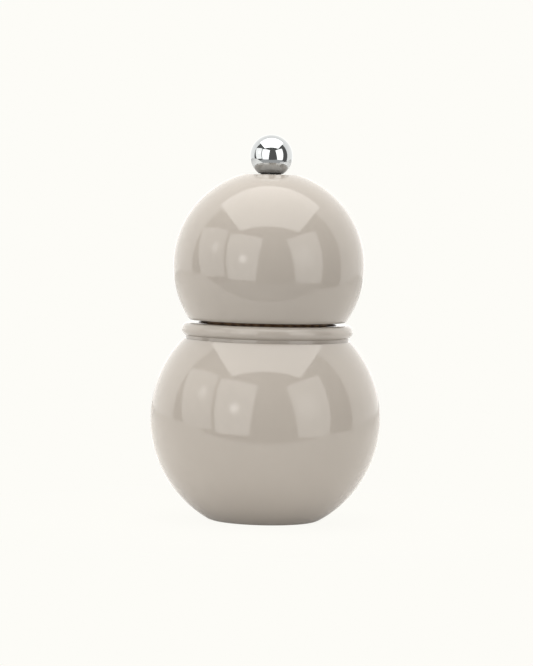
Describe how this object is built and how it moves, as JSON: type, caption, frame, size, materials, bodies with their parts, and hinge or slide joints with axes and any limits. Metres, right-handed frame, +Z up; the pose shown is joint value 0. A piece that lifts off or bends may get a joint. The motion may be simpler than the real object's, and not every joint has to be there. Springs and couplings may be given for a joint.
{
  "type": "pepper mill",
  "caption": "Hand pepper mill: a lacquered wooden ball head on a larger ball body with a bead collar, a chrome ball nut that sets the grind, and a ceramic burr in the base",
  "frame": {"origin": "centre of the flat base ring, on the table plane", "axes": "+Z up along the turning axis and the shaft; the drive plate's long side lies along X at rest"},
  "size_m": [0.0716, 0.0716, 0.12],
  "materials": {
    "lacquered_wood": "beech turned round, filled, and coated with a warm grey high-gloss lacquer; bare brown wood where the head and the collar meet and inside",
    "chromed_nut": "mirror chrome over turned steel",
    "steel_small_parts": "bright zinc-plated steel, stamped",
    "steel_shaft": "cold-drawn stainless steel bar",
    "steel_plate": "stamped steel plate with a brushed face",
    "zinc_screws": "bright zinc plate",
    "housing_plastic": "black moulded nylon, fine matt texture",
    "steel_ring": "stainless steel, spun-brushed",
    "ceramic_stator": "off-white fired ceramic, fine satin",
    "ceramic_rotor": "off-white fired ceramic, fine satin",
    "hub_plastic": "black moulded nylon",
    "bridge_plastic": "black moulded nylon",
    "spring_steel": "drawn spring wire, light oil"
  },
  "bodies": {
    "mill_body": {"body": "lacquered_wood", "grinder_housing": "housing_plastic", "retaining_ring": "steel_ring", "retaining_ring_screws": "zinc_screws", "stator": "ceramic_stator", "grinder_bridge": "bridge_plastic"},
    "spring_pack": {"upper_spring_washer": "steel_small_parts", "spring": "spring_steel"},
    "spindle": {"shaft": "steel_shaft", "shaft_clip": "steel_small_parts", "rotor": "ceramic_rotor", "rotor_hub": "hub_plastic", "rotor_washer": "steel_small_parts", "rotor_screw": "zinc_screws", "lower_spring_washer": "steel_small_parts"},
    "head": {"head": "lacquered_wood", "drive_plate": "steel_plate", "drive_plate_screws": "zinc_screws"},
    "nut_washer": {"nut_washer": "steel_small_parts"},
    "ball_nut": {"ball_nut": "chromed_nut"}
  },
  "joints": [
    {"name": "head_turn", "type": "hinge", "parent": "mill_body", "child": "spring_pack", "pos_m": [0, 0, 0.0176], "axis": [0, 0, 1], "continuous": true},
    {"name": "grind_adjust", "type": "slide", "parent": "spring_pack", "child": "spindle", "axis": [0, 0, 1], "range_m": [-0.0012, 0.0008], "deforming": ["spring"]},
    {"name": "head_lift", "type": "slide", "parent": "spring_pack", "child": "head", "axis": [0, 0, 1], "range_m": [0, 0.07]},
    {"name": "nut_lift", "type": "slide", "parent": "head", "child": "nut_washer", "axis": [0, 0, 1], "range_m": [0, 0.02]},
    {"name": "nut_turn", "type": "hinge", "parent": "nut_washer", "child": "ball_nut", "pos_m": [0, 0, 0.10835], "axis": [0, 0, 1], "range_deg": [-360, 540]}
  ],
  "couplings": [
    {"joint": "nut_turn", "follows": "grind_adjust", "rad_per_m": -7853.9}
  ]
}
